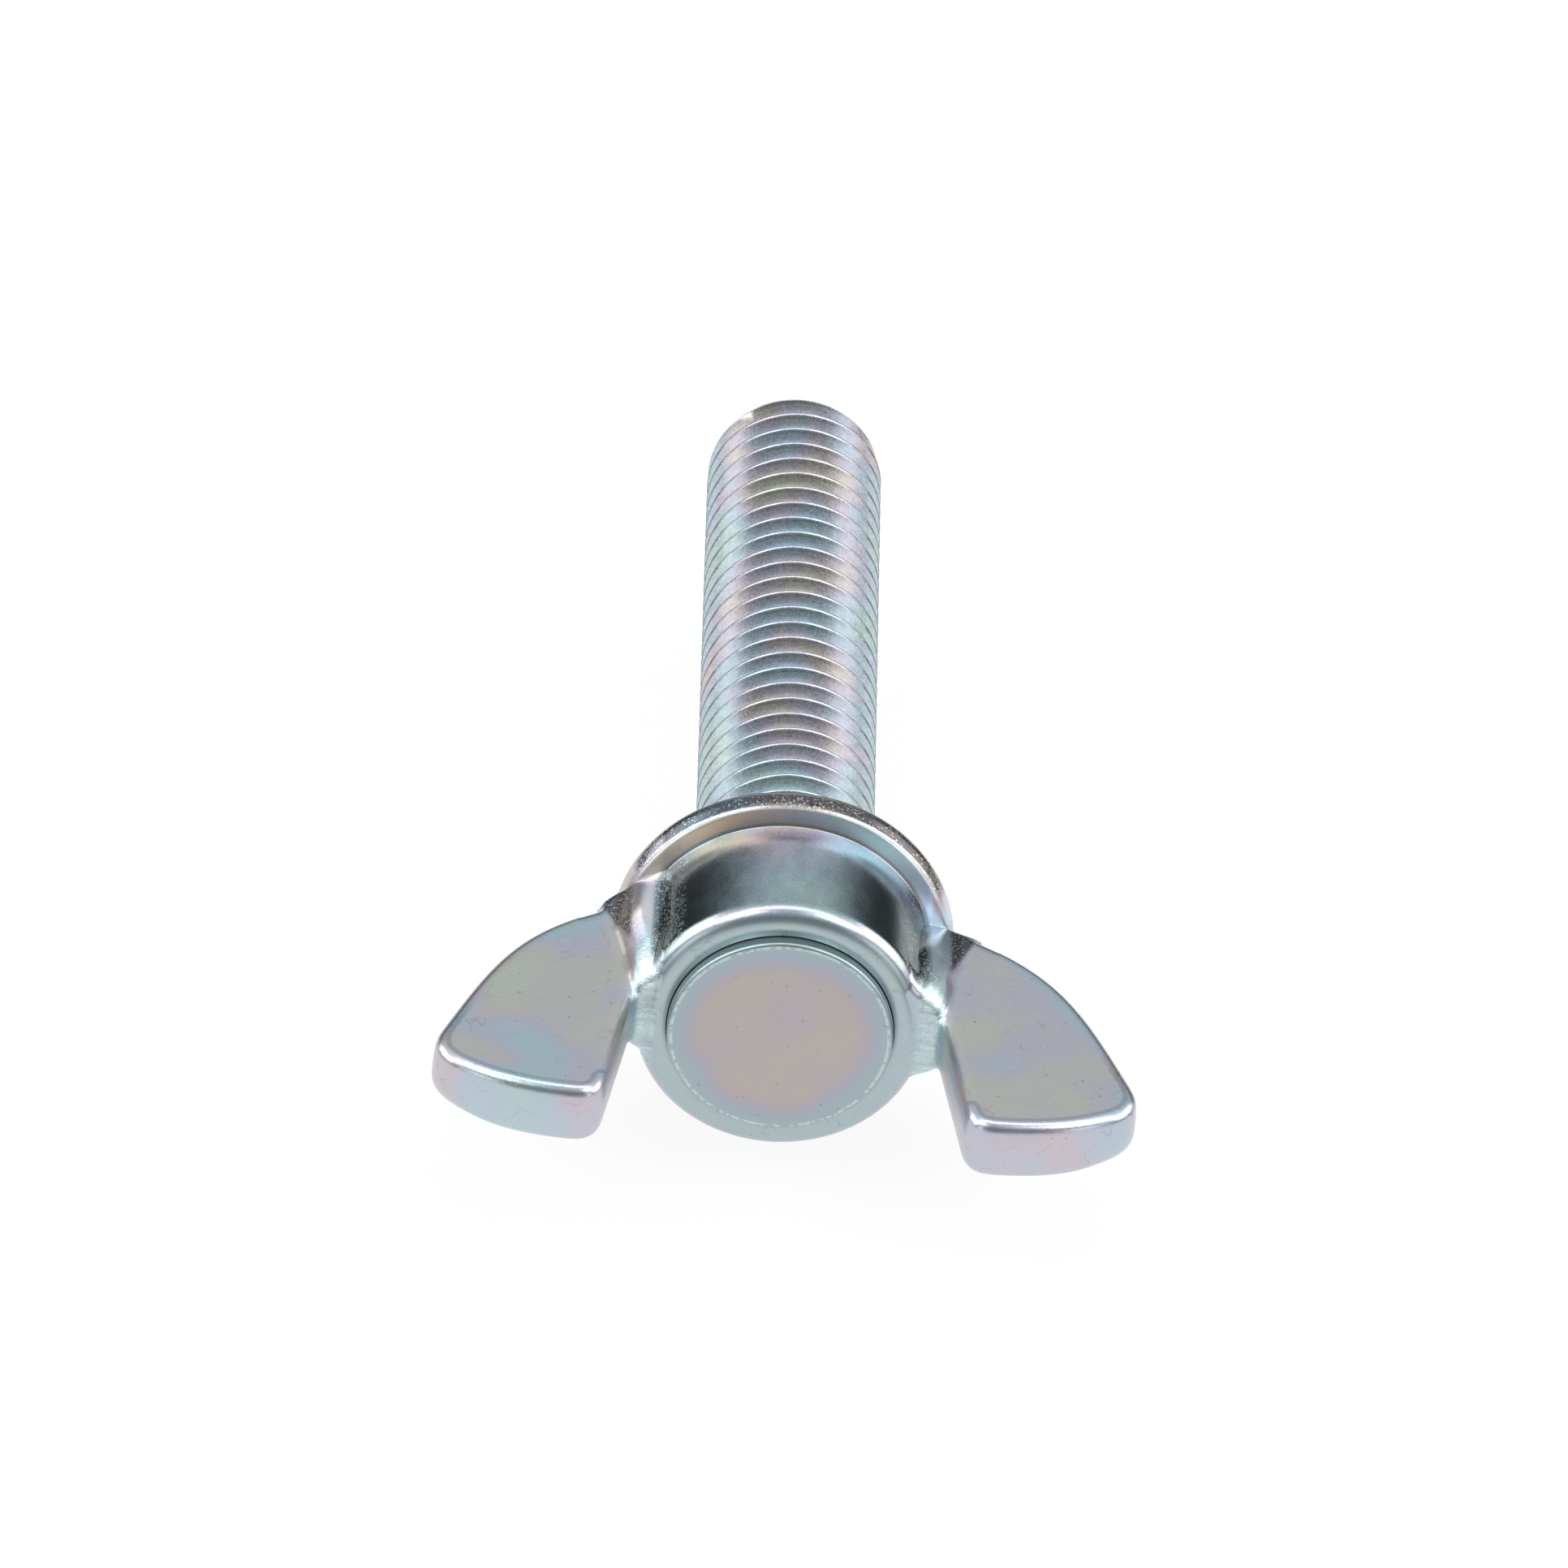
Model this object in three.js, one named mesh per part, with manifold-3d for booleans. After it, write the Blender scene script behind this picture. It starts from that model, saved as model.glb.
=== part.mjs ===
// Wing bolt, M10: a forged wing head with a threaded stud pressed into it.
//
// Millimetres, +Z up. The bolt lies on its side: its axis runs along Y, the stud's tip points to +Y and
// the wings spread along X. The origin is on the axis, in the plane of the collar's bearing face.

import * as THREE from 'three';
import { mergeVertices } from 'three/addons/utils/BufferGeometryUtils.js';
import Module from 'manifold-3d';

const wasm = await Module();
wasm.setup();

// ---------- Driving dimensions ----------

// Threaded stud
const threadDiameter = 9.85; // over the crests of a rolled M10 thread
const threadPitch = 1.5;
const threadReach = 46.6; // from the bearing face to the tip
const threadClocking = -82; // degrees that the thread is turned about the axis
const threadDepthShare = 0.6134; // depth of a metric thread, as a share of its pitch
const crestShare = 0.125; // flat on the crest, as a share of the pitch
const flankShare = 0.354; // each flank
const tipChamfer = 0.7;
const studHeadOverhang = 0.875; // from the serrations out to the side of the head
const studHeadThickness = 3.2;
const studHeadRounding = 0.4;
const neckLength = 3; // serrated neck under the stud's head
const neckRelief = 0.35; // how far the serrations stand over the thread's crests
const serrationCount = 24;
const serrationDepth = 0.4;

// Wing head, body of revolution
const headHeight = 9.5; // from the bearing face to the mouth of the bore
const studHeadStand = 0.6; // how far the stud's head stands out of the mouth
const bossWall = 1.55; // between the bore's mouth and the boss's side
const bossEdgeDrop = 1.15; // from the mouth down to where the boss's side begins
const bossEdgeLead = 0.4; // from the mouth down to the corner that this curve rounds
const mouthLand = 0.25; // narrow flat round the mouth
const collarOverhang = 1.45; // from the boss's side to the widest part of the collar
const collarThickness = 1.65;
const collarFillet = 1.4; // height of the concave curve between boss and collar
const collarFilletLead = 0.35; // from the corner of that curve down to the collar
const collarShoulder = 0.45; // from the end of that curve out to the widest part of the collar
const collarCrownDrop = 1.24; // from the bearing face up to the corner of the collar's round shoulder
const bearingEdge = 0.6; // rounding between the collar's rim and the bearing face
const boreChamfer = 0.5;

// Wings
const wingSpan = 38.9;
const wingRise = 9.2; // from the stud head's face out to the wing tips
const wingThickness = 3.7;
const dieShift = 0.3; // the wings were forged this far off the bore's centre, towards +X
const wingEdgeRounding = 0.8;
const wingTipSlope = 2.9; // the tip's outer corner sits this much lower than its inner one
const wingTipBulge = 0.7; // crown of the tip over a straight line between its corners
const wingTipCorner = 1.4;
const wingTipToBoss = 2; // from the boss's side out to the tip's inner corner
const wingRootToBoss = 0.4; // from the boss's side out to the inner edge's root
const wingRootFillet = 0.8;
const shoulderHeight = 1.1; // from the bearing face to where the outer edge leaves the collar
const shoulderInset = 0.25; // from there out to the widest part of the collar
const shoulderSlope = 0.5; // fall of the outer edge where it leaves the collar
const flankSlope = 2.6; // fall of the outer edge where it reaches the tip
const flankPullShare = 0.45; // how far the outer edge keeps each end's direction, as shares of its length
const shoulderPullShare = 0.4;

// Webs that join wings and boss
const webThickness = 5;
const webStand = 0.3; // how far the webs reach out past the root of the inner edge
const webRounding = 0.7;
const webCorner = 1.1;

// Clearances between the two pieces
const headGap = 0.2; // round the stud's head
const seatGap = 0.04; // under the stud's head
const neckGap = 0.06; // round the serrations
const threadGap = 0.3; // round the thread, inside the bore

// Facets
const roundSides = 64;
const threadSides = 20;
const arcSteps = 4;
const edgeSteps = 10;
const bevelSteps = 3;
const mergeDistance = 1e-4;

// How far a cut passes the surface that it opens, and how deep a joined shape runs into its neighbour
const cutOverrun = 1;
const joinOverlap = 0.5;

// ---------- Sizes that follow ----------

const threadRadius = threadDiameter / 2;
const threadRoot = threadRadius - threadDepthShare * threadPitch;
const neckRadius = threadRadius + neckRelief;
const studHeadRadius = neckRadius + studHeadOverhang;

const studFaceY = -(headHeight + studHeadStand);
const seatY = studFaceY + studHeadThickness;
const neckEndY = seatY + neckLength;
const mouthY = -headHeight;

const mouthRadius = studHeadRadius + headGap;
const neckPocketRadius = neckRadius + neckGap;
const throughRadius = threadRadius + threadGap;
const bossRadius = mouthRadius + bossWall;
const collarRadius = bossRadius + collarOverhang;

const steel = new THREE.MeshStandardMaterial({ color: 0xb4b8bf, roughness: 0.32, metalness: 1 });

// ---------- Solids and geometries ----------

// A closed geometry becomes a solid. Corners at one place are merged and the triangles that this
// flattens are left out.
function toSolid(geometry) {
  const bare = geometry.clone();
  bare.deleteAttribute('normal');
  bare.deleteAttribute('uv');
  const merged = mergeVertices(bare, mergeDistance);
  const index = merged.index.array;
  const kept = [];
  for (let i = 0; i < index.length; i += 3) {
    const [a, b, c] = index.slice(i, i + 3);
    if (a !== b && b !== c && c !== a) {
      kept.push(a, b, c);
    }
  }
  const mesh = new wasm.Mesh({
    numProp: 3,
    vertProperties: new Float32Array(merged.attributes.position.array),
    triVerts: new Uint32Array(kept),
  });
  return new wasm.Manifold(mesh);
}

function toGeometry(solid) {
  const mesh = solid.getMesh();
  const geometry = new THREE.BufferGeometry();
  geometry.setAttribute('position', new THREE.BufferAttribute(new Float32Array(mesh.vertProperties), 3));
  geometry.setIndex(new THREE.BufferAttribute(new Uint32Array(mesh.triVerts), 1));
  geometry.computeVertexNormals();
  return geometry;
}

// A body turned about the Y axis from a path of radius against height.
function turned(path, sides = roundSides) {
  return toSolid(new THREE.LatheGeometry(path.getPoints(arcSteps), sides));
}

// A flat outline in X and Y, given a thickness in Z about the plane of the wings, with rounded edges
// that stay inside the outline.
function plate(shape, thickness, rounding) {
  const geometry = new THREE.ExtrudeGeometry(shape, {
    depth: thickness - 2 * rounding,
    bevelEnabled: true,
    bevelThickness: rounding,
    bevelSize: rounding,
    bevelOffset: -rounding,
    bevelSegments: bevelSteps,
    curveSegments: edgeSteps,
  });
  geometry.translate(0, 0, rounding - thickness / 2);
  return toSolid(geometry);
}

// Draws on from the path's last point to a corner and rounds it on the way to the next point.
function roundCorner(path, corner, next, radius) {
  const before = path.currentPoint.clone().sub(corner).setLength(radius).add(corner);
  const after = next.clone().sub(corner).setLength(radius).add(corner);
  path.lineTo(before.x, before.y);
  path.quadraticCurveTo(corner.x, corner.y, after.x, after.y);
}

// ---------- Wing head ----------

function bossAndCollar() {
  const path = new THREE.Path();
  path.moveTo(0, mouthY);
  path.lineTo(mouthRadius + mouthLand, mouthY);
  path.quadraticCurveTo(bossRadius, mouthY + bossEdgeLead, bossRadius, mouthY + bossEdgeDrop);
  path.lineTo(bossRadius, -collarThickness - collarFillet);
  path.quadraticCurveTo(
    bossRadius, -collarThickness - collarFilletLead, collarRadius - collarShoulder, -collarThickness,
  );
  path.quadraticCurveTo(collarRadius, -collarCrownDrop, collarRadius, -bearingEdge);
  path.quadraticCurveTo(collarRadius, 0, collarRadius - bearingEdge, 0);
  path.lineTo(0, 0);
  return turned(path);
}

// The stepped bore: a pocket for the stud's head, one for its serrated neck, and a way through for
// the thread.
function bore() {
  const path = new THREE.Path();
  path.moveTo(0, studFaceY - cutOverrun);
  path.lineTo(mouthRadius, studFaceY - cutOverrun);
  path.lineTo(mouthRadius, seatY + seatGap);
  path.lineTo(neckPocketRadius, seatY + seatGap);
  path.lineTo(neckPocketRadius, neckEndY + seatGap);
  path.lineTo(throughRadius, neckEndY + seatGap);
  path.lineTo(throughRadius, -boreChamfer);
  path.lineTo(throughRadius + boreChamfer, 0);
  path.lineTo(throughRadius + boreChamfer, cutOverrun);
  path.lineTo(0, cutOverrun);
  return turned(path);
}

// Wings and webs start inside the boss, where the bore is cut through them afterwards.
const buriedX = mouthRadius / 2;

// Seen along Z: up the inner edge to the crowned tip, round it and down the long outer edge to the
// collar.
function wingOutline() {
  const tipY = studFaceY - wingRise;
  const innerRoot = new THREE.Vector2(bossRadius + wingRootToBoss, mouthY);
  const tipInner = new THREE.Vector2(bossRadius + wingTipToBoss, tipY);
  const tipOuter = new THREE.Vector2(wingSpan / 2, tipInner.y + wingTipSlope);
  const shoulder = new THREE.Vector2(collarRadius - shoulderInset, -shoulderHeight);
  const acrossTip = tipOuter.clone().sub(tipInner).normalize();
  const outward = new THREE.Vector2(acrossTip.y, -acrossTip.x);
  const tipCrown = tipInner.clone().lerp(tipOuter, 0.5).addScaledVector(outward, 2 * wingTipBulge);
  const crownEnd = tipCrown.clone().sub(tipOuter).setLength(wingTipCorner).add(tipOuter);
  const flank = new THREE.Vector2(-1, flankSlope).normalize();
  const flankStart = tipOuter.clone().addScaledVector(flank, wingTipCorner);
  const flankLength = flankStart.distanceTo(shoulder);
  const flankPull = flankStart.clone().addScaledVector(flank, flankPullShare * flankLength);
  const shoulderLength = shoulderPullShare * flankLength;
  const shoulderPull = new THREE.Vector2(1, -shoulderSlope).setLength(shoulderLength).add(shoulder);
  const outline = new THREE.Shape();
  outline.moveTo(buriedX, mouthY);
  roundCorner(outline, innerRoot, tipInner, wingRootFillet);
  roundCorner(outline, tipInner, tipCrown, wingTipCorner);
  outline.quadraticCurveTo(tipCrown.x, tipCrown.y, crownEnd.x, crownEnd.y);
  outline.quadraticCurveTo(tipOuter.x, tipOuter.y, flankStart.x, flankStart.y);
  outline.bezierCurveTo(flankPull.x, flankPull.y, shoulderPull.x, shoulderPull.y, shoulder.x, shoulder.y);
  outline.lineTo(buriedX, -shoulderHeight);
  outline.closePath();
  return outline;
}

function webOutline() {
  const edgeX = bossRadius + wingRootToBoss + webStand;
  const outline = new THREE.Shape();
  outline.moveTo(buriedX, mouthY);
  outline.lineTo(edgeX - webCorner, mouthY);
  outline.quadraticCurveTo(edgeX, mouthY, edgeX, mouthY + webCorner);
  outline.lineTo(edgeX, -collarThickness);
  outline.lineTo(buriedX, -collarThickness);
  outline.closePath();
  return outline;
}

function wingHead() {
  const wing = plate(wingOutline(), wingThickness, wingEdgeRounding);
  const web = plate(webOutline(), webThickness, webRounding);
  const side = wing.add(web);
  const wings = side.add(side.rotate([0, 180, 0])).translate([dieShift, 0, 0]);
  return bossAndCollar().add(wings).subtract(bore());
}

// ---------- Threaded stud ----------

// One turn of the thread, as shares of the pitch: a narrow crest, a flank, the root and a flank.
const threadRows = [
  { along: 0, radius: threadRadius },
  { along: crestShare, radius: threadRadius },
  { along: crestShare + flankShare, radius: threadRoot },
  { along: 1 - flankShare, radius: threadRoot },
];

// A right-hand thread. A turned grid is sheared by one pitch a turn, so its rows follow the helix.
// Rows that would pass an end are gathered in the end's plane at the root's radius.
function thread(startY, endY) {
  const length = endY - startY;
  const turns = Math.ceil(length / threadPitch) + 1;
  const rowCount = turns * threadRows.length + 1;
  const profile = [new THREE.Vector2(0, startY)];
  for (let row = 0; row < rowCount; row++) {
    profile.push(new THREE.Vector2(threadRoot, startY));
  }
  profile.push(new THREE.Vector2(0, endY));
  const geometry = new THREE.LatheGeometry(profile, threadSides);
  const position = geometry.attributes.position;
  for (let i = 0; i < position.count; i++) {
    const row = (i % profile.length) - 1;
    const side = Math.floor(i / profile.length);
    if (row < 0 || row >= rowCount) {
      continue;
    }
    const { along, radius } = threadRows[row % threadRows.length];
    const turn = Math.floor(row / threadRows.length) + side / threadSides;
    const y = startY + (turn - 1 + along) * threadPitch;
    const inside = y > startY + mergeDistance && y < endY - mergeDistance;
    const reach = inside ? radius : threadRoot;
    const angle = (2 * Math.PI * side) / threadSides;
    position.setXYZ(
      i, reach * Math.sin(angle), THREE.MathUtils.clamp(y, startY, endY), reach * Math.cos(angle),
    );
  }
  return toSolid(geometry);
}

// What the thread is trimmed to: a rod with a chamfered tip.
function threadEnvelope(startY) {
  const path = new THREE.Path();
  path.moveTo(0, startY - cutOverrun);
  path.lineTo(threadRadius + cutOverrun, startY - cutOverrun);
  path.lineTo(threadRadius + cutOverrun, threadReach - tipChamfer - cutOverrun);
  path.lineTo(threadRadius - tipChamfer, threadReach);
  path.lineTo(0, threadReach);
  return turned(path);
}

function serratedNeck() {
  const outline = new THREE.Shape();
  for (let i = 0; i < 2 * serrationCount; i++) {
    const radius = i % 2 === 0 ? neckRadius : neckRadius - serrationDepth;
    const angle = (Math.PI * i) / serrationCount;
    const x = radius * Math.cos(angle);
    const z = radius * Math.sin(angle);
    if (i === 0) {
      outline.moveTo(x, z);
    } else {
      outline.lineTo(x, z);
    }
  }
  outline.closePath();
  const depth = neckLength + joinOverlap;
  const geometry = new THREE.ExtrudeGeometry(outline, { depth, bevelEnabled: false });
  geometry.rotateX(-Math.PI / 2);
  geometry.translate(0, seatY - joinOverlap, 0);
  return toSolid(geometry);
}

function studHead() {
  const path = new THREE.Path();
  path.moveTo(0, studFaceY);
  path.lineTo(studHeadRadius - studHeadRounding, studFaceY);
  path.quadraticCurveTo(studHeadRadius, studFaceY, studHeadRadius, studFaceY + studHeadRounding);
  path.lineTo(studHeadRadius, seatY);
  path.lineTo(0, seatY);
  return turned(path);
}

function threadedStud() {
  const rootY = neckEndY - joinOverlap;
  const shank = thread(rootY, threadReach + threadPitch).rotate([0, threadClocking, 0]);
  return studHead().add(serratedNeck()).add(shank.intersect(threadEnvelope(rootY)));
}

// ---------- The bolt ----------

const group = new THREE.Group();

function addPiece(name, solid) {
  const mesh = new THREE.Mesh(toGeometry(solid), steel.clone());
  mesh.name = name;
  group.add(mesh);
}

addPiece('wing_head', wingHead());
addPiece('threaded_stud', threadedStud());

export default group;
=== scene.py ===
"""A wing bolt in bright zinc plate: a forged wing head and the threaded stud pressed through it.

Shapes are drawn in millimetres and turned to metres when a piece is finished. The bolt's axis runs along Y
with the stud's tip at +Y, the wings spread along X, and the origin is in the collar's bearing face.
"""

import math

import bmesh
import bpy
from mathutils import Matrix, Vector, kdtree


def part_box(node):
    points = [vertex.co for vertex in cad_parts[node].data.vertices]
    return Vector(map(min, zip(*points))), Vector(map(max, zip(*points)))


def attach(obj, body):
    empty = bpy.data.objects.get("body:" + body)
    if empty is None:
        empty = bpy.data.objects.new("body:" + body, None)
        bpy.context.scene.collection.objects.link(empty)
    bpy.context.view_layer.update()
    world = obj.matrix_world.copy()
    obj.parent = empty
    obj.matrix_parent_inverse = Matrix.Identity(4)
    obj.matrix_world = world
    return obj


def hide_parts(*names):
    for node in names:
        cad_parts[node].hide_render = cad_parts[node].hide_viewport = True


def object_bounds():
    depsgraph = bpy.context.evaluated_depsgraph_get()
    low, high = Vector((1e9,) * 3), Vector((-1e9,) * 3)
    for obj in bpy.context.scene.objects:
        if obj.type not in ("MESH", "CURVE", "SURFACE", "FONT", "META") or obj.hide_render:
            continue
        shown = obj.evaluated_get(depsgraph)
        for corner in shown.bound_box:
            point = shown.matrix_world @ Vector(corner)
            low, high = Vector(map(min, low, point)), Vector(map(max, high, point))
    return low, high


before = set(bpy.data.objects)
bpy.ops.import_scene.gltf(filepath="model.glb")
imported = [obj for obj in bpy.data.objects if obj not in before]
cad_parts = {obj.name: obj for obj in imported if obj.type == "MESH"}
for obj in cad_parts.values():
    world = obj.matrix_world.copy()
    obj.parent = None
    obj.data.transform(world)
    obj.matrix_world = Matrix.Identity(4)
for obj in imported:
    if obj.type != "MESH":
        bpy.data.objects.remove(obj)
cad_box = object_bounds()

MM = 0.001
EDGE_DISTANCE = "edge_distance"

# ---------- Sizes, in millimetres ----------

stud_low, stud_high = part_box("threaded_stud")
head_low, head_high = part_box("wing_head")

# Stud
STUD_FACE_Y = stud_low.y / MM
STUD_TIP_Y = stud_high.y / MM
STUD_HEAD_RADIUS = stud_high.x / MM
STUD_HEAD_THICKNESS = 3.2
STUD_HEAD_ROUNDING = 0.22
NECK_LENGTH = 3
NECK_RADIUS = 5.2
THREAD_RADIUS = 4.925
THREAD_PITCH = 1.5
CREST_RADIUS = 0.13
ROOT_RADIUS = 0.25
FLANK_RISE = math.tan(math.radians(60))
FLANK_BREAK = 0.06
THREAD_SIDES = 96
THREAD_DEPTH = FLANK_RISE * THREAD_PITCH / 2 - CREST_RADIUS - ROOT_RADIUS
THREAD_CLOCKING = math.radians(-82)
THREAD_START_Y = -5.9
TIP_ROUNDING = 0.8
TIP_ROUNDING_LENGTH = 2.2

# Wing head, body of revolution
COLLAR_RADIUS = head_high.z / MM
COLLAR_OVERHANG = 1.45
COLLAR_FACE_Y = -1.62
COLLAR_FACE_SLOPE = 0.25
COLLAR_LIP = 0.24
LIP_WIDTH_SHARE = 0.25
LIP_TO_BARREL = Vector((0.1, 0.25))
FLARE_HEIGHT = 0.95
FLARE_PULL = 0.6
FLARE_REACH = 0.15
FLARE_CORNER = 0.05
BARREL_START = 0.75
BARREL_END = 0.45
BEARING_EDGE = 0.42
BOSS_RADIUS = COLLAR_RADIUS - COLLAR_OVERHANG
BOSS_EDGE_DROP = 1.1
BOSS_EDGE_LEAD = 0.02
HEAD_GAP = 0.06
HEAD_STANDS_OUT = 0.6
MOUTH_RADIUS = STUD_HEAD_RADIUS + HEAD_GAP
MOUTH_LAND = 0.5
MOUTH_CHAMFER = 0.12
MOUTH_Y = STUD_FACE_Y + HEAD_STANDS_OUT
SEAT_Y = STUD_FACE_Y + STUD_HEAD_THICKNESS
THROUGH_RADIUS = 5.25
BORE_CHAMFER = 0.5

# Wings
DIE_SHIFT = 0.3
WING_SPAN = 39.2
WING_THICKNESS = 3.7
UPPER_EDGE_ROUNDING = 0.6
LOWER_EDGE_ROUNDING = 0.95
TIP_EXTRA_ROUNDING = 0.75
TIP_EXTRA_REACH = 2.6
WING_EDGE_CROWN = 0.16
TIP_SLOPE = 2.9
TIP_BULGE = 0.7
TIP_CORNER = 1.5
OUTER_TIP_CORNER = 2.2
TIP_RISE = 9.2
TIP_TO_BOSS = 2
ROOT_TO_BOSS = 0.4
ROOT_FILLET = 0.8
SHOULDER_HEIGHT = 1.1
SHOULDER_INSET = 0.25
SHOULDER_SLOPE = 0.5
FLANK_SLOPE = 2.6
FLANK_PULL = 0.45
SHOULDER_PULL = 0.4
BURIED_RADIUS = 6.9


# Joint of wing, web and boss
JOINT_REACH = (7.2, 11.5)
JOINT_HEIGHT = (1.2, 5.2)
JOINT_Y = (-9.2, -0.6)
WING_SMOOTHING = 2
JOINT_SMOOTHING = 12

# Meshes
STUD_HEAD_STEPS = 128
BOSS_STEPS = 192
ARC_STEPS = 8
BOSS_ARC_STEPS = 10
SMALL_ARC_STEPS = 4
CORNER_STEPS = 6
CROWN_STEPS = 16
FLANK_STEPS = 28
EDGE_STEPS = 10
EDGE_STEP_ANGLE = 10
VOXEL = 0.14
SHARP_ANGLE = math.radians(40)
MERGE_DISTANCE = 1e-4
TURN_MERGE_DISTANCE = 1e-3
NOT_ON_A_WING = 9.0


# ---------- Shapes ----------

def bezier(*pulls, steps=ARC_STEPS):
    """Points along a Bezier curve, with its start left out."""
    points = []
    for step in range(1, steps + 1):
        share = step / steps
        row = [Vector(pull) for pull in pulls]
        while len(row) > 1:
            row = [a.lerp(b, share) for a, b in zip(row, row[1:])]
        points.append(row[0])
    return points


def rounded_corner(before, corner, after, reach):
    """A corner rounded between two points that lie a set reach away from it on its two sides."""
    start = corner + (before - corner).normalized() * reach
    end = corner + (after - corner).normalized() * reach
    return [start] + bezier(start, corner, end, steps=CORNER_STEPS)


def turned(bm, path, steps, closed=True):
    """Spins a path of radius against height about the bolt's axis."""
    corners = [bm.verts.new((radius, height, 0)) for radius, height in path]
    edges = [bm.edges.new(pair) for pair in zip(corners, corners[1:])]
    if closed:
        edges.append(bm.edges.new((corners[-1], corners[0])))
    bmesh.ops.spin(
        bm, geom=corners + edges, cent=(0, 0, 0), axis=(0, 1, 0), angle=2 * math.pi,
        steps=steps, use_merge=True,
    )


def tidy(bm):
    """Merges doubles, drops faces without area and turns every face outwards."""
    bmesh.ops.remove_doubles(bm, verts=bm.verts, dist=MERGE_DISTANCE)
    bmesh.ops.dissolve_degenerate(bm, edges=bm.edges, dist=MERGE_DISTANCE / 10)
    bmesh.ops.recalc_face_normals(bm, faces=bm.faces)


def shape_object(bm, name):
    """A shape as an object for a modifier to work on."""
    mesh = bpy.data.meshes.new(name)
    bm.to_mesh(mesh)
    bm.free()
    holder = bpy.data.objects.new(name, mesh)
    bpy.context.collection.objects.link(holder)
    return holder


def with_modifier(bm, kind, settings):
    """A shape after one modifier has worked on it."""
    holder = shape_object(bm, "blank")
    modifier = holder.modifiers.new(kind.lower(), kind)
    for name, value in settings.items():
        setattr(modifier, name, value)
    worked = bmesh.new()
    worked.from_mesh(holder.evaluated_get(bpy.context.evaluated_depsgraph_get()).to_mesh())
    bpy.data.objects.remove(holder)
    return worked


def remeshed(bm, voxel):
    """The outer skin of overlapping closed shapes as one even mesh."""
    return with_modifier(bm, "REMESH", {"mode": "VOXEL", "voxel_size": voxel})


def joined(first, second):
    """Two closed shapes made one."""
    other = shape_object(second, "other")
    whole = with_modifier(first, "BOOLEAN", {"operation": "UNION", "solver": "MANIFOLD", "object": other})
    bpy.data.objects.remove(other)
    return whole


def smoothed(bm, verts, times):
    """Softens a shape by moving the given corners towards their neighbours."""
    for _ in range(times):
        bmesh.ops.smooth_vert(bm, verts=verts, factor=0.5, use_axis_x=True, use_axis_y=True, use_axis_z=True)


def finished(bm, name, stands_for, material):
    """Turns a shape into a smooth-shaded piece in metres that stands for its CAD node."""
    bmesh.ops.scale(bm, vec=(MM, MM, MM), verts=bm.verts)
    for face in bm.faces:
        face.smooth = True
    for edge in bm.edges:
        edge.smooth = not edge.is_manifold or edge.calc_face_angle() < SHARP_ANGLE
    piece = shape_object(bm, name)
    piece.data.materials.append(material)
    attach(piece, "root")
    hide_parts(stands_for)
    return piece


# ---------- Wing head ----------

def boss_path():
    """Section of boss, collar and stepped bore, as radius against height."""
    path = [Vector((MOUTH_RADIUS, SEAT_Y))]
    path.append(Vector((MOUTH_RADIUS, MOUTH_Y + MOUTH_CHAMFER)))
    edge_start = Vector((MOUTH_RADIUS + MOUTH_LAND, MOUTH_Y))
    edge_end = Vector((BOSS_RADIUS, MOUTH_Y + BOSS_EDGE_DROP))
    path.append(edge_start)
    path += bezier(edge_start, (BOSS_RADIUS, MOUTH_Y + BOSS_EDGE_LEAD), edge_end, steps=BOSS_ARC_STEPS)
    flare_start = Vector((BOSS_RADIUS, COLLAR_FACE_Y - FLARE_HEIGHT))
    flare_corner = Vector((BOSS_RADIUS + FLARE_REACH, COLLAR_FACE_Y))
    flare_end = flare_corner + Vector((-FLARE_CORNER / 3, -FLARE_CORNER))
    face_start = flare_corner + Vector((FLARE_CORNER, 0))
    path.append(flare_start)
    flare_pull = (BOSS_RADIUS, COLLAR_FACE_Y - FLARE_PULL * FLARE_HEIGHT)
    path += bezier(flare_start, flare_pull, flare_end, steps=BOSS_ARC_STEPS)
    path += bezier(flare_end, flare_corner, face_start, steps=SMALL_ARC_STEPS)
    lip_corner = Vector((COLLAR_RADIUS - COLLAR_LIP, COLLAR_FACE_Y + COLLAR_FACE_SLOPE))
    face_end = lip_corner.lerp(face_start, LIP_WIDTH_SHARE)
    barrel_start = lip_corner + LIP_TO_BARREL
    barrel_top = Vector((COLLAR_RADIUS, -BARREL_END))
    path.append(face_end)
    path += bezier(face_end, lip_corner, barrel_start)
    path += bezier(barrel_start, (COLLAR_RADIUS, -BARREL_START), barrel_top)
    path += bezier(barrel_top, (COLLAR_RADIUS, 0), (COLLAR_RADIUS - BEARING_EDGE, 0))
    path.append(Vector((THROUGH_RADIUS + BORE_CHAMFER, 0)))
    path.append(Vector((THROUGH_RADIUS, -BORE_CHAMFER)))
    path.append(Vector((THROUGH_RADIUS, SEAT_Y)))
    return path


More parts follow.
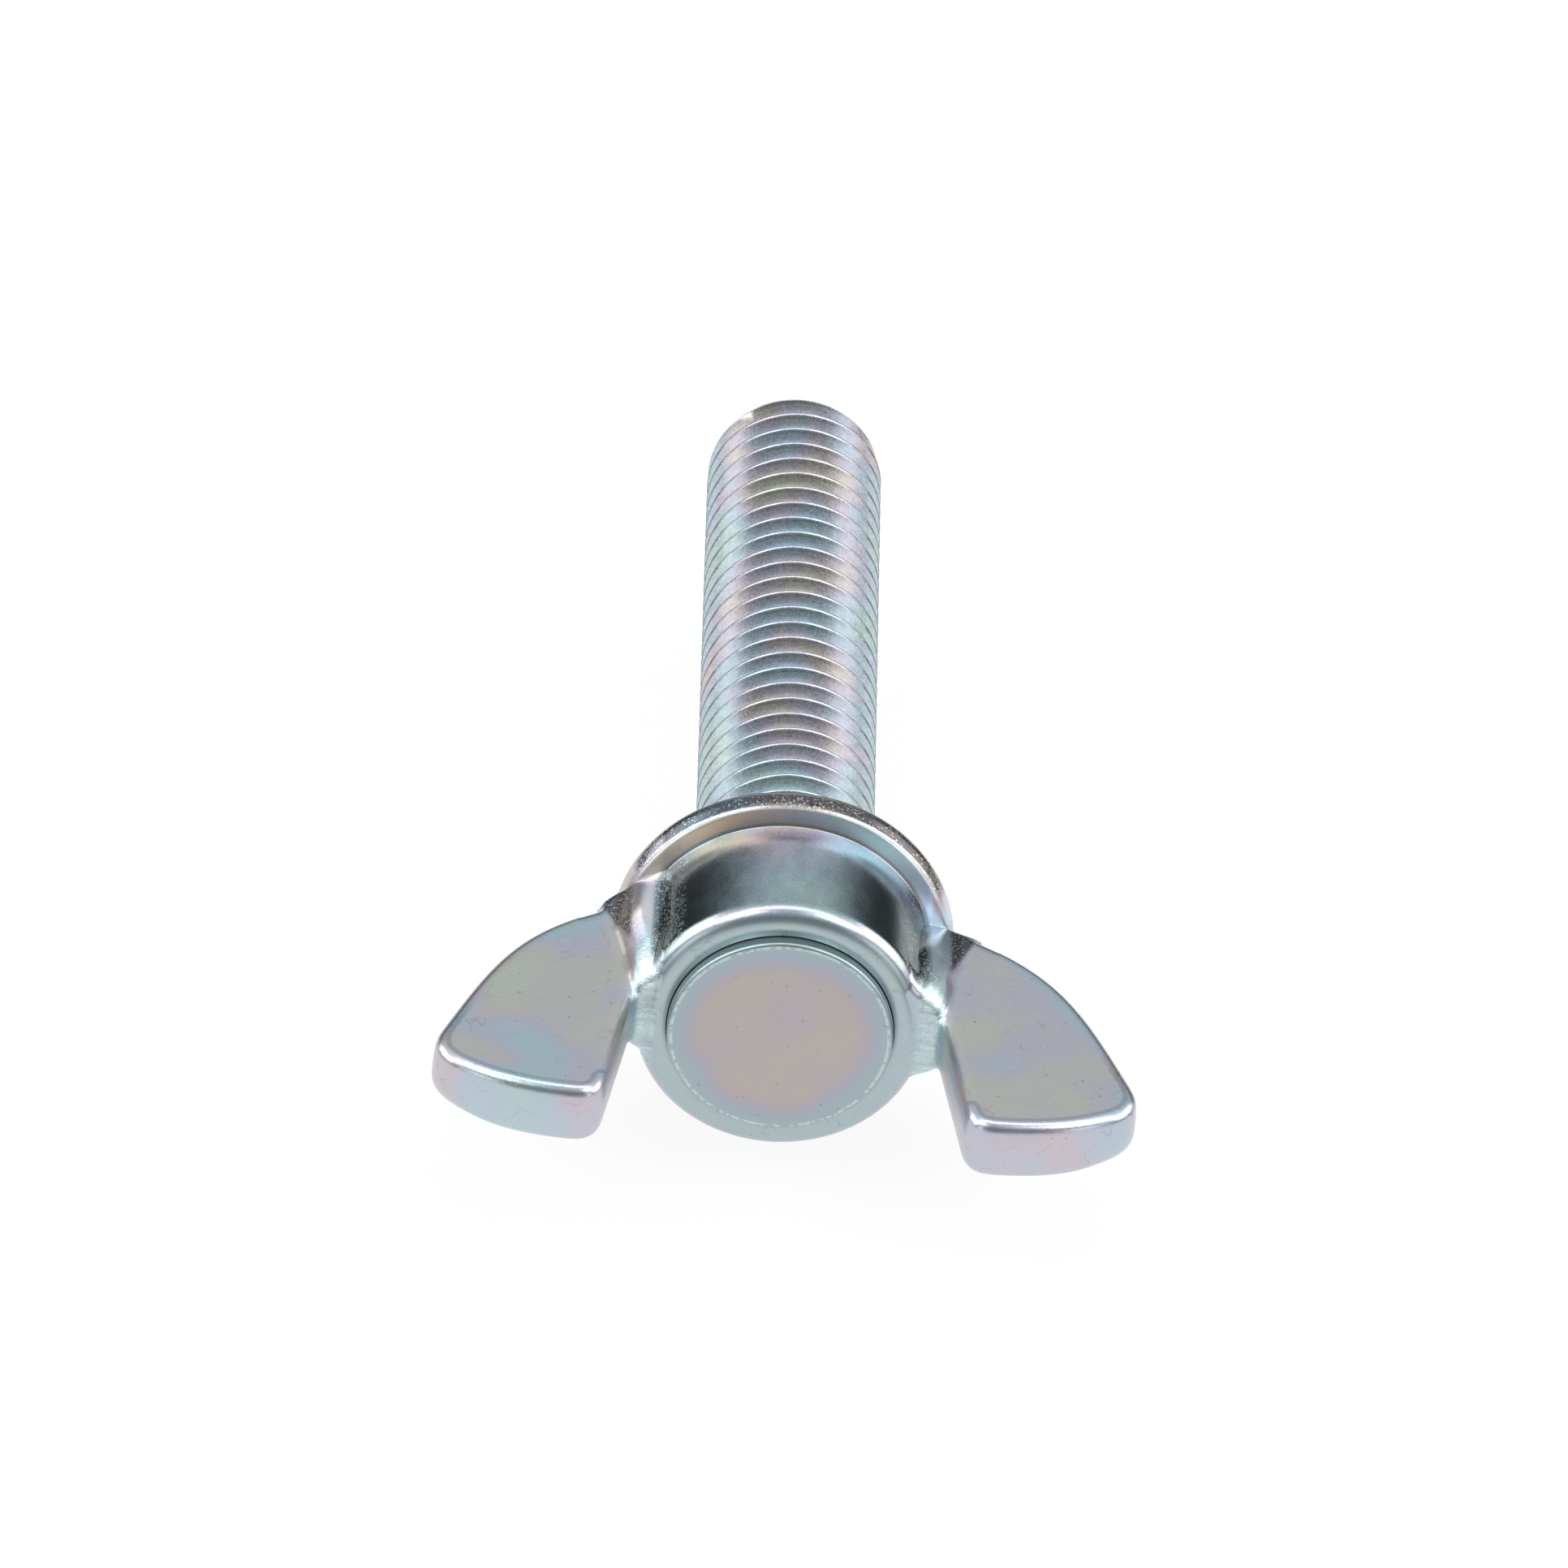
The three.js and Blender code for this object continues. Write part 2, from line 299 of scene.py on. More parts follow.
def wing_outline():
    """One wing seen along Z: up its inner edge, over the crowned tip and down the long outer edge."""
    inner_root = Vector((BOSS_RADIUS + ROOT_TO_BOSS, MOUTH_Y))
    tip_inner = Vector((BOSS_RADIUS + TIP_TO_BOSS, STUD_FACE_Y - TIP_RISE))
    tip_outer = Vector((WING_SPAN / 2, tip_inner.y + TIP_SLOPE))
    shoulder = Vector((COLLAR_RADIUS - SHOULDER_INSET, -SHOULDER_HEIGHT))
    across = (tip_outer - tip_inner).normalized()
    crown = (tip_inner + tip_outer) / 2 + Vector((across.y, -across.x)) * 2 * TIP_BULGE
    flank = Vector((-1, FLANK_SLOPE)).normalized()
    crown_end = tip_outer + (crown - tip_outer).normalized() * OUTER_TIP_CORNER
    flank_start = tip_outer + flank * OUTER_TIP_CORNER
    flank_length = (shoulder - flank_start).length
    flank_pull = flank_start + flank * FLANK_PULL * flank_length
    shoulder_pull = shoulder + Vector((1, -SHOULDER_SLOPE)).normalized() * SHOULDER_PULL * flank_length
    buried_front = Vector((BURIED_RADIUS, MOUTH_Y + ROOT_FILLET))
    root_start = inner_root + Vector((-ROOT_FILLET, 0))
    outline = [buried_front, root_start]
    outline += rounded_corner(root_start, inner_root, tip_inner, ROOT_FILLET)[1:]
    outline += rounded_corner(inner_root, tip_inner, crown, TIP_CORNER)
    outline += bezier(outline[-1], crown, crown_end, steps=CROWN_STEPS)
    outline += bezier(crown_end, tip_outer, flank_start)
    outline += bezier(flank_start, flank_pull, shoulder_pull, shoulder, steps=FLANK_STEPS)
    outline.append(Vector((BURIED_RADIUS, -SHOULDER_HEIGHT)))
    return outline


def edge_section(extra):
    """The wing's side from its lower face to its upper: how far in from the outline, and at what height."""
    half = WING_THICKNESS / 2
    section = []
    for rounding, direction in ((LOWER_EDGE_ROUNDING + extra, -1), (UPPER_EDGE_ROUNDING, 1)):
        straight = half - rounding
        crown = WING_EDGE_CROWN * (straight / half) ** 2
        side = [(WING_EDGE_CROWN * (straight / half / 2) ** 2, straight / 2)]
        for step in range(EDGE_STEPS):
            angle = math.radians(EDGE_STEP_ANGLE * step)
            side.append((crown + rounding * (1 - math.cos(angle)), straight + rounding * math.sin(angle)))
        section += [(inset, direction * height) for inset, height in side[::direction]]
    return section


def add_wing(bm, side):
    """One wing as a plate with a crowned, rounded edge. It is lofted up from its lower face."""
    outline = wing_outline()
    outer_tip = max(outline, key=lambda point: point.x - point.y)
    sections = []
    for before, point, after in zip(outline[-1:] + outline[:-1], outline, outline[1:] + outline[:1]):
        along = (after - before).normalized()
        inward = Vector((-along.y, along.x))
        nearness = math.exp(-((point - outer_tip).length / TIP_EXTRA_REACH) ** 2)
        sections.append([
            Vector((side * (point.x + inward.x * inset) + DIE_SHIFT, point.y + inward.y * inset, height))
            for inset, height in edge_section(TIP_EXTRA_ROUNDING * nearness)
        ])
    rings = [[bm.verts.new(place) for place in level] for level in zip(*sections)]
    for ring in rings:
        for pair in zip(ring, ring[1:] + ring[:1]):
            bm.edges.new(pair)
    for low, high in zip(rings, rings[1:]):
        edges = [bm.edges.get(pair) for ring in (low, high) for pair in zip(ring, ring[1:] + ring[:1])]
        bmesh.ops.bridge_loops(bm, edges=edges)
    bmesh.ops.triangulate(bm, faces=[bm.faces.new(rings[0]), bm.faces.new(rings[-1])])


# The web between wing and boss: half sections of distance from the bolt's axis against height, from the
# boss over the ridge and down to the wing, at stations along the axis from its front back to the collar.
WEB_STATIONS = [
    (-9.42, [(6.45, 3.3), (6.9, 2.9), (7.3, 2.6), (7.7, 2.35), (8.1, 2.0), (8.3, 1.6), (8.4, 1.2)]),
    (-9.2, [(6.5, 3.9), (7.0, 3.3), (7.4, 2.95), (7.8, 2.75), (8.3, 2.3), (8.5, 1.8), (8.6, 1.2)]),
    (-8.3, [(6.2, 4.85), (6.85, 3.95), (7.4, 3.4), (7.8, 3.15), (8.35, 2.6), (8.75, 1.9), (8.95, 1.2)]),
    (-6.5, [(6.1, 4.97), (6.8, 4.12), (7.45, 3.6), (7.95, 3.4), (8.5, 2.8), (9.0, 1.9), (9.25, 1.2)]),
    (-4.0, [(6.0, 5.1), (6.8, 4.25), (7.6, 3.8), (8.35, 3.65), (8.95, 3.0), (9.6, 1.9), (9.8, 1.2)]),
    (-1.2, [(5.8, 5.5), (6.8, 4.7), (7.8, 4.0), (8.55, 3.5), (9.1, 2.9), (10.3, 1.9), (10.6, 1.2)]),
]
RIDGE_FOOT = 1.2
RIDGE_DROP = {-1: 0.0, 1: 0.65}
UNDERSIDE_SHARE = 0.65
BURIED_STEPS = 7


def add_web(bm, side):
    """The web that joins one wing to the boss. Its ridge may drop towards the collar."""
    rings = []
    front, back = WEB_STATIONS[0][0], WEB_STATIONS[-1][0]
    for y, drawn in WEB_STATIONS:
        lower = 1 - RIDGE_DROP[side] * (y - front) / (back - front)
        half = [(x, RIDGE_FOOT + (z - RIDGE_FOOT) * lower) for x, z in drawn]
        under = [(x, -RIDGE_FOOT - (z - RIDGE_FOOT) * UNDERSIDE_SHARE) for x, z in reversed(drawn)]
        top_angle = math.atan2(half[0][1], half[0][0])
        low_angle = math.atan2(under[-1][1], under[-1][0])
        buried = []
        for step in range(BURIED_STEPS):
            angle = low_angle + (top_angle - low_angle) * step / (BURIED_STEPS - 1)
            buried.append((BURIED_RADIUS * math.cos(angle), BURIED_RADIUS * math.sin(angle)))
        section = half + under + buried
        corners = [bm.verts.new((side * x + DIE_SHIFT, y, z)) for x, z in section]
        rings.append([bm.edges.new(pair) for pair in zip(corners, corners[1:] + corners[:1])])
    for near, far in zip(rings, rings[1:]):
        bmesh.ops.bridge_loops(bm, edges=near + far)
    for ring in (rings[0], rings[-1]):
        bmesh.ops.triangulate(bm, faces=bmesh.ops.edgeloop_fill(bm, edges=ring)["faces"])


def in_joint(place):
    """True where wing, web and boss run into each other."""
    spans = ((abs(place.x - DIE_SHIFT), JOINT_REACH), (abs(place.z), JOINT_HEIGHT), (place.y, JOINT_Y))
    return all(low < value < high for value, (low, high) in spans)


def make_wing_head(material):
    """The forging: wings and webs softened as one skin, then joined to the precise boss."""
    wings = bmesh.new()
    for side in (-1, 1):
        add_wing(wings, side)
        add_web(wings, side)
    tidy(wings)
    wings = remeshed(wings, VOXEL)
    smoothed(wings, wings.verts, WING_SMOOTHING)
    smoothed(wings, [vert for vert in wings.verts if in_joint(vert.co)], JOINT_SMOOTHING)
    boss = bmesh.new()
    turned(boss, boss_path(), BOSS_STEPS)
    tidy(boss)
    whole = joined(boss, wings)
    mark_edges(whole)
    return finished(whole, "forged_wing_head", "wing_head", material)


def mark_edges(bm):
    """Notes how far each place on a wing is from the wing's outline, in millimetres."""
    outline = wing_outline()
    tree = kdtree.KDTree(len(outline))
    for number, point in enumerate(outline):
        tree.insert((point.x, point.y, 0), number)
    tree.balance()
    distance = bm.verts.layers.float.new(EDGE_DISTANCE)
    for vert in bm.verts:
        flat = (abs(vert.co.x - DIE_SHIFT), vert.co.y, 0)
        vert[distance] = tree.find(flat)[2] if flat[0] > COLLAR_RADIUS else NOT_ON_A_WING


# ---------- Threaded stud ----------

def thread_section():
    """One pitch of the thread, from crest to crest: distance along the axis against depth under the crest."""
    angles = [math.radians(angle) for angle in (0, 15, 30, 45, 60)]
    crest = [(CREST_RADIUS * math.sin(angle), CREST_RADIUS * (1 - math.cos(angle))) for angle in angles]
    root = [
        (THREAD_PITCH / 2 - ROOT_RADIUS * math.sin(angle), THREAD_DEPTH - ROOT_RADIUS * (1 - math.cos(angle)))
        for angle in reversed(angles)
    ]
    top, foot = Vector(crest[-1]), Vector(root[0])
    flank = [top.lerp(foot, FLANK_BREAK), top.lerp(foot, 1 - FLANK_BREAK)]
    falling = crest + [tuple(point) for point in flank] + root
    return falling + [(THREAD_PITCH - along, depth) for along, depth in reversed(falling[:-1])]


def add_thread(bm):
    """A right-hand thread: one turn of its section as a helix, copied along the axis, then trimmed."""
    start_x, start_z = math.sin(THREAD_CLOCKING), math.cos(THREAD_CLOCKING)
    corners = []
    for along, depth in thread_section():
        radius = THREAD_RADIUS - depth
        y = THREAD_START_Y + along - THREAD_PITCH
        corners.append(bm.verts.new((radius * start_x, y, radius * start_z)))
    edges = [bm.edges.new(pair) for pair in zip(corners, corners[1:])]
    bmesh.ops.spin(
        bm, geom=corners + edges, cent=(0, 0, 0), axis=(0, 1, 0), angle=2 * math.pi,
        steps=THREAD_SIDES, dvec=(0, THREAD_PITCH / THREAD_SIDES, 0), use_merge=False,
    )
    turn = bm.verts[:] + bm.edges[:] + bm.faces[:]
    turns = math.ceil((STUD_TIP_Y - THREAD_START_Y) / THREAD_PITCH) + 2
    for number in range(1, turns):
        copy = bmesh.ops.duplicate(bm, geom=turn)["geom"]
        moved = [item for item in copy if isinstance(item, bmesh.types.BMVert)]
        bmesh.ops.translate(bm, vec=(0, number * THREAD_PITCH, 0), verts=moved)
    bmesh.ops.remove_doubles(bm, verts=bm.verts, dist=TURN_MERGE_DISTANCE)
    trim(bm, THREAD_START_Y + THREAD_PITCH / 3, -1)
    for vert in bm.verts:
        past = max(0, vert.co.y - (STUD_TIP_Y - TIP_ROUNDING_LENGTH)) / TIP_ROUNDING_LENGTH
        reach = THREAD_RADIUS - TIP_ROUNDING * past ** 2
        radius = math.hypot(vert.co.x, vert.co.z)
        if radius > reach:
            vert.co.x *= reach / radius
            vert.co.z *= reach / radius
    trim(bm, STUD_TIP_Y, 1)


def trim(bm, y, outward):
    """Cuts a shape off square at one place along the axis and closes the end."""
    cut = bmesh.ops.bisect_plane(
        bm, geom=bm.verts[:] + bm.edges[:] + bm.faces[:],
        plane_co=(0, y, 0), plane_no=(0, outward, 0), clear_outer=True,
    )
    rim = [item for item in cut["geom_cut"] if isinstance(item, bmesh.types.BMEdge)]
    bmesh.ops.triangulate(bm, faces=bmesh.ops.edgeloop_fill(bm, edges=rim)["faces"])


def stud_head_path():
    """Section of the stud's round head and its neck, from the axis out and back to the axis."""
    rounding_start = Vector((STUD_HEAD_RADIUS - STUD_HEAD_ROUNDING, STUD_FACE_Y))
    rounding_corner = (STUD_HEAD_RADIUS, STUD_FACE_Y)
    rounding_end = (STUD_HEAD_RADIUS, STUD_FACE_Y + STUD_HEAD_ROUNDING)
    path = [Vector((0, STUD_FACE_Y)), rounding_start]
    path += bezier(rounding_start, rounding_corner, rounding_end)
    path.append(Vector((STUD_HEAD_RADIUS, SEAT_Y)))
    path.append(Vector((NECK_RADIUS, SEAT_Y)))
    path.append(Vector((NECK_RADIUS, SEAT_Y + NECK_LENGTH)))
    path.append(Vector((0, SEAT_Y + NECK_LENGTH)))
    return path


def make_stud(material):
    """The stud: its thread joined to its round head and neck."""
    thread = bmesh.new()
    add_thread(thread)
    tidy(thread)
    head = bmesh.new()
    turned(head, stud_head_path(), STUD_HEAD_STEPS, closed=False)
    tidy(head)
    return finished(joined(head, thread), "rolled_stud", "threaded_stud", material)


# ---------- Finishes ----------

class Wire:
    """The output of a node. An operator on it adds the Math node that does the sum."""

    def __init__(self, paint, socket):
        self.paint = paint
        self.socket = socket

    def sum(self, operation, first, second):
        return self.paint.node("ShaderNodeMath", {"operation": operation}, {0: first, 1: second})

    def __add__(self, other):
        return self.sum("ADD", self, other)

    def __radd__(self, other):
        return self.sum("ADD", other, self)

    def __sub__(self, other):
        return self.sum("SUBTRACT", self, other)

    def __rsub__(self, other):
        return self.sum("SUBTRACT", other, self)

    def __mul__(self, other):
        return self.sum("MULTIPLY", self, other)

    def __rmul__(self, other):
        return self.sum("MULTIPLY", other, self)

    def __truediv__(self, other):
        return self.sum("DIVIDE", self, other)

    def __pow__(self, other):
        return self.sum("POWER", self, other)

    def abs(self):
        return self.sum("ABSOLUTE", self, 0.0)

    def most(self, other):
        return self.sum("MAXIMUM", self, other)


class Paint:
    """A material that is put together from nodes, with places on the piece in millimetres."""

    def __init__(self, name, owner=None):
        self.owner = owner or bpy.data.materials.new(name)
        self.owner.use_nodes = True
        self.tree = self.owner.node_tree
        self.tree.nodes.clear()
        coordinates = self.node("ShaderNodeTexCoord", output="Object")
        self.place = self.node(
            "ShaderNodeVectorMath", {"operation": "SCALE"}, {0: coordinates, "Scale": 1 / MM},
        )
        split = self.node("ShaderNodeSeparateXYZ", None, {0: self.place}, output=None)
        self.x, self.y, self.z = (Wire(self, socket) for socket in split.outputs)

    def node(self, kind, settings=None, inputs=None, output=0):
        """A node with its settings and inputs. It gives back one output, or the node itself."""
        made = self.tree.nodes.new(kind)
        for name, value in (settings or {}).items():
            if name == "stops":
                set_stops(made.color_ramp, value)
            else:
                setattr(made, name, value)
        for name, value in (inputs or {}).items():
            if isinstance(value, Wire):
                self.tree.links.new(value.socket, made.inputs[name])
            else:
                made.inputs[name].default_value = value
        return made if output is None else Wire(self, made.outputs[output])

    def radius(self):
        """Distance from the bolt's axis."""
        return (self.x * self.x + self.z * self.z) ** 0.5

    def step(self, value, start, end):
        """0 before start, 1 after end and smooth between; start may be the larger."""
        low, high, rising = min(start, end), max(start, end), end > start
        return self.node(
            "ShaderNodeMapRange", {"interpolation_type": "SMOOTHSTEP"},
            {0: value, 1: low, 2: high, 3: 0.0 if rising else 1.0, 4: 1.0 if rising else 0.0},
        )

    def band(self, value, low, high, soft):
        """1 between low and high, with soft ends outside them."""
        return self.step(value, low - soft, low) * self.step(value, high + soft, high)

    def noise(self, size, detail=2.0, stretch=(1, 1, 1)):
        """Soft noise from 0 to 1 with lumps of about a size in millimetres."""
        scale = tuple(1 / share for share in stretch)
        place = self.node("ShaderNodeMapping", None, {"Vector": self.place, "Scale": scale})
        inputs = {"Vector": place, "Scale": 1 / size, "Detail": detail}
        return self.node("ShaderNodeTexNoise", None, inputs)

    def cells(self, size):
        """Distance from the nearest of many scattered points."""
        return self.node("ShaderNodeTexVoronoi", None, {"Vector": self.place, "Scale": 1 / size})

    def ramp(self, value, stops):
        """The colour that a value from 0 to 1 has along the stops."""
        return self.node("ShaderNodeValToRGB", {"stops": stops}, {0: value})

    def mix(self, share, first, second):
        """The first colour where the share is 0 and the second where it is 1."""
        return self.node("ShaderNodeMix", {"data_type": "RGBA"}, {0: share, 6: first, 7: second}, output=2)

    def darken(self, colour, share):
        """A colour times a number."""
        return self.node("ShaderNodeVectorMath", {"operation": "SCALE"}, {0: colour, "Scale": share})

    def bump(self, height, depth, below=None):
        """A relief of a set depth in millimetres, over another one if that is given."""
        inputs = {"Height": height, "Distance": depth * MM, "Strength": 1.0}
        if below is not None:
            inputs["Normal"] = below
        return self.node("ShaderNodeBump", None, inputs)

    def metal(self, colour, roughness, normal):
        """The finished metal material."""
        shader = self.node(
            "ShaderNodeBsdfPrincipled", None,
            {"Base Color": colour, "Metallic": 1.0, "Roughness": roughness, "Normal": normal},
        )
        self.node("ShaderNodeOutputMaterial", None, {"Surface": shader}, output=None)
        return self.owner


def set_stops(ramp, stops):
    """Gives a colour ramp its stops, each a position and a red, green and blue."""
    while len(ramp.elements) > 1:
        ramp.elements.remove(ramp.elements[-1])
    for number, (position, colour) in enumerate(stops):
        stop = ramp.elements[0] if number == 0 else ramp.elements.new(position)
        stop.position = position
        stop.color = (*colour, 1)


# The tints of the thin clear film on the zinc, in the order that they follow as it gets thicker
TINTS = [
    (0.00, (0.46, 0.53, 0.51)),
    (0.14, (0.50, 0.53, 0.49)),
    (0.28, (0.53, 0.52, 0.46)),
    (0.42, (0.54, 0.49, 0.47)),
    (0.56, (0.51, 0.47, 0.53)),
    (0.70, (0.45, 0.50, 0.57)),
    (0.84, (0.43, 0.52, 0.56)),
    (1.00, (0.45, 0.54, 0.53)),
]

# The same film on the collar's face, from its reach at -X to its reach at +X
COLLAR_TINT_REACH = 9.0
COLLAR_TINTS = [
    (0.10, (0.50, 0.47, 0.42)),
    (0.30, (0.62, 0.46, 0.34)),
    (0.50, (0.50, 0.45, 0.53)),
    (0.75, (0.36, 0.52, 0.56)),
    (1.00, (0.46, 0.46, 0.58)),
]


# Both pieces: the middle of a noise, the detail of its coarse kinds, and how deep the grain is
MEAN = 0.5
COARSE_DETAIL = 1.5
GRAIN_DEPTH = 0.004

# Forging: where each part of its finish starts and is full, in millimetres. A third number is a soft end.
WEB_INSIDE = (7.5, 7.8)
WEB_TOP = (4.4, 3.6)
BOSS_OUTSIDE = (8.5, 8.1)
BOSS_FRONT = (-9.0, -8.5)
BOSS_BACK = (-1.55, -1.75)
FOOT_START = (-2.9, -2.3)
LAND_OUTSIDE = (7.9, 7.2)
LAND_BACK = (-8.8, -9.2)
FACE_ACROSS = (8.28, 9.0, 0.08)
FACE_ALONG = (-1.75, -1.35, 0.1)
LIP_ACROSS = (9.0, 9.14, 0.04)
LIP_ALONG = (-1.5, -1.2, 0.04)
RIM_ALONG = (-1.24, -0.50, 0.10)
RIM_INSIDE = (8.9, 9.1)
STRIP_ACROSS = (7.2, 8.4, 0.25)
STRIP_BACK = (-5.0, -8.4)
STRIP_LOW = (-3.6, -2.6)
RIDGE_ACROSS = (7.5, 8.7, 0.3)
RIDGE_LOW = (1.7, 2.4)
VALLEY_SLANT = 0.38
VALLEY_OUTSIDE = (11.1, 10.8)
VALLEY_INSIDE = (8.5, 8.9)
VALLEY_LOW = (1.2, 1.7)
VALLEY_BACK = (-1.0, -1.6)
FILLET_ACROSS = (6.2, 7.4, 0.4)
FILLET_LOW = (2.2, 3.0)
FILLET_ALONG = (-8.7, -2.0, 0.4)
GROOVE_FROM_EDGE = (0.66, 0.82, 0.12)
GROOVE_LOW = (1.5, 1.7)
GROOVE_BACK = (-11, -14)
BOSS_TURNS = (1.2, 4.2)
BOSS_SIDE = (5.4, 6.6)

# Forging: how much darker or lighter each part is than plain zinc. The boss, its foot and the collar's rim
# get painted dark reflection, the valley and the fillet painted shade, the groove painted dark reflection and
# the land painted shade;
# the flecks get painted glints, the collar's face and the web's ridge painted light and the lip a painted
# highlight.
HEAD_SHADE = 1.09
BOSS_DARK_REFLECTION = 0.32
BOSS_TURN_DARK_REFLECTION = 0.38
BOSS_SIDE_SHARE = 0.4
FOOT_DARK_REFLECTION = 0.12
FOOT_EVENNESS = 0.9
CLOUD_DARK = 0.5
RIM_DARK_REFLECTION = 0.86
VALLEY_SHADE = 0.88
FILLET_SHADE = 0.66
FLECK_GLINT = 0.6
FLECK_GLINTS_ON_BOSS = 0.4
STREAK_LIGHT = 0.9
STREAK_MEAN = 0.35
FACE_PAINTED_LIGHT = 0.4
RIDGE_PAINTED_LIGHT = 0.3
LIP_HIGHLIGHT = 0.7
PIT_DARK = 0.3
SCRATCH_DARK = 0.16
GROOVE_REFLECTION_DARK = 0.3
LAND_SHADE = 0.14

# Forging: sizes of its marks and grain in millimetres, and where they show in their noise
GRAIN_SIZE = 0.09
CLOUD_SIZE = 0.8
CLOUD_DETAIL = 3.0
CLOUD_STRETCH = (1, 2, 1)
PEEL_SIZE = 0.30
STREAK_SIZE = 0.36
STREAK_STRETCH = (6, 6, 0.8)
STREAK_DEPTH = 0.08
FLECK_SIZE = 0.14
FLECK_DETAIL = 1.0
FLECK_SHOWS = (0.56, 0.66)
PIT_SPACING = 1.1
PIT_SHOWS = (0.11, 0.05)
SCRATCH_SPACING = 2.4
SCRATCH_SHOWS = (0.007, 0.002)
SCRATCH_WHERE = (0.46, 0.54)

# Forging: the film's thickness from 0 to 1 along its tints
FILM_SIZE = 5.5
FILM_RANGE = 1.4
FILM_LOW = 0.19
FILM_EDGE = (1.6, 0.3)
FILM_AT_EDGE = 0.22
FILM_ON_BOSS = 0.30
FILM_RIGHT = (7, 13)
FILM_LOSS_RIGHT = 0.14
FRONT_FILM_SIZE = 1.6
FRONT_FILM_RANGE = 0.5
FRONT_FILM_LOW = 0.66

HEAD_ROUGHNESS = 0.30
BOSS_GLOSS = 0.11
RIM_GLOSS = 0.05
STRIP_DULLNESS = 0.08
GRAIN_ROUGHNESS = 0.12
FLECK_HEIGHT = 3


def head_finish():
    """Zinc on the forging: satin wings, a glossy boss with painted dark reflection, a peened collar with
    painted dark reflection, painted glints and a painted highlight, and drawn webs with painted light and
    painted shade.
    """
    paint = Paint("zinc_on_forging")
    radius = paint.radius()
    beside = (paint.x - DIE_SHIFT).abs()
    edge = paint.node("ShaderNodeAttribute", {"attribute_name": EDGE_DISTANCE}, output="Fac")

    off_web = 1 - paint.step(beside, *WEB_INSIDE) * paint.step(paint.z.abs(), *WEB_TOP)
    boss = paint.step(radius, *BOSS_OUTSIDE) * paint.step(paint.y, *BOSS_FRONT) * off_web
    boss = boss * paint.step(paint.y, *BOSS_BACK)
    foot = paint.step(paint.y, *FOOT_START)
    land = paint.step(radius, *LAND_OUTSIDE) * paint.step(paint.y, *LAND_BACK)
    face = paint.band(radius, *FACE_ACROSS) * paint.band(paint.y, *FACE_ALONG) * off_web
    lip = paint.band(radius, *LIP_ACROSS) * paint.band(paint.y, *LIP_ALONG) * off_web
    rim = paint.band(paint.y, *RIM_ALONG) * paint.step(radius, *RIM_INSIDE) * off_web
    strip = paint.band(beside, *STRIP_ACROSS) * paint.step(paint.y, *STRIP_BACK)
    strip = strip * paint.step(paint.z, *STRIP_LOW)
    ridge = paint.band(beside, *RIDGE_ACROSS) * paint.step(paint.z, *RIDGE_LOW)
    valley = paint.step(beside - paint.y * VALLEY_SLANT, *VALLEY_OUTSIDE)
    valley = valley * paint.step(beside, *VALLEY_INSIDE)
    valley = valley * paint.step(paint.z, *VALLEY_LOW) * paint.step(paint.y, *VALLEY_BACK)
    fillet = paint.band(beside, *FILLET_ACROSS) * paint.step(paint.z, *FILLET_LOW)
    fillet = fillet * paint.band(paint.y, *FILLET_ALONG)
    # Painted shade on the wing's top beside the web's ridge near the collar, and in the fillet where the web
    # meets the boss.
    recess_shade = (valley * VALLEY_SHADE).most(fillet * FILLET_SHADE)
    # Painted dark reflection of a slight hollow just inside the top edge of each wing's tip.
    groove_reflection = paint.band(edge, *GROOVE_FROM_EDGE) * paint.step(paint.z, *GROOVE_LOW)
    groove_reflection = groove_reflection * paint.step(paint.y, *GROOVE_BACK)

    grain = paint.noise(GRAIN_SIZE)
    clouds = paint.noise(CLOUD_SIZE, CLOUD_DETAIL, CLOUD_STRETCH)
    peel = paint.noise(PEEL_SIZE)
    streaks = paint.noise(STREAK_SIZE, stretch=STREAK_STRETCH)
    flecks = paint.step(paint.noise(FLECK_SIZE, FLECK_DETAIL), *FLECK_SHOWS)
    pits = paint.step(paint.cells(PIT_SPACING), *PIT_SHOWS)
    scratches = paint.step((paint.noise(SCRATCH_SPACING, COARSE_DETAIL) - MEAN).abs(), *SCRATCH_SHOWS)
    scratches = scratches * paint.step(clouds, *SCRATCH_WHERE)

    film = paint.noise(FILM_SIZE, COARSE_DETAIL) * FILM_RANGE - FILM_LOW
    film = film + paint.step(edge, *FILM_EDGE) * FILM_AT_EDGE + boss * FILM_ON_BOSS
    film = film - paint.step(paint.x, *FILM_RIGHT) * FILM_LOSS_RIGHT
    front = land.most(strip)
    front_film = FRONT_FILM_LOW + paint.noise(FRONT_FILM_SIZE) * FRONT_FILM_RANGE
    film = film * (1 - front) + front * front_film
    across = paint.x / (2 * COLLAR_TINT_REACH) + 0.5
    tint = paint.mix(face, paint.ramp(film, TINTS), paint.ramp(across, COLLAR_TINTS))

    # Painted dark reflection on the boss, darker towards its sides and less on its foot, with a random cloudy
    # tone in it, and on the collar's rim.
    sideways = paint.step(beside, *BOSS_TURNS) * (1 - foot * FOOT_EVENNESS)
    sideways = sideways + paint.step(beside, *BOSS_SIDE) * BOSS_SIDE_SHARE
    cloudy = (clouds - MEAN) * CLOUD_DARK * (1 - foot)
    dark = boss * (BOSS_DARK_REFLECTION + sideways * BOSS_TURN_DARK_REFLECTION + foot * FOOT_DARK_REFLECTION + cloudy)
    dark = dark.most(rim * RIM_DARK_REFLECTION).most(recess_shade)
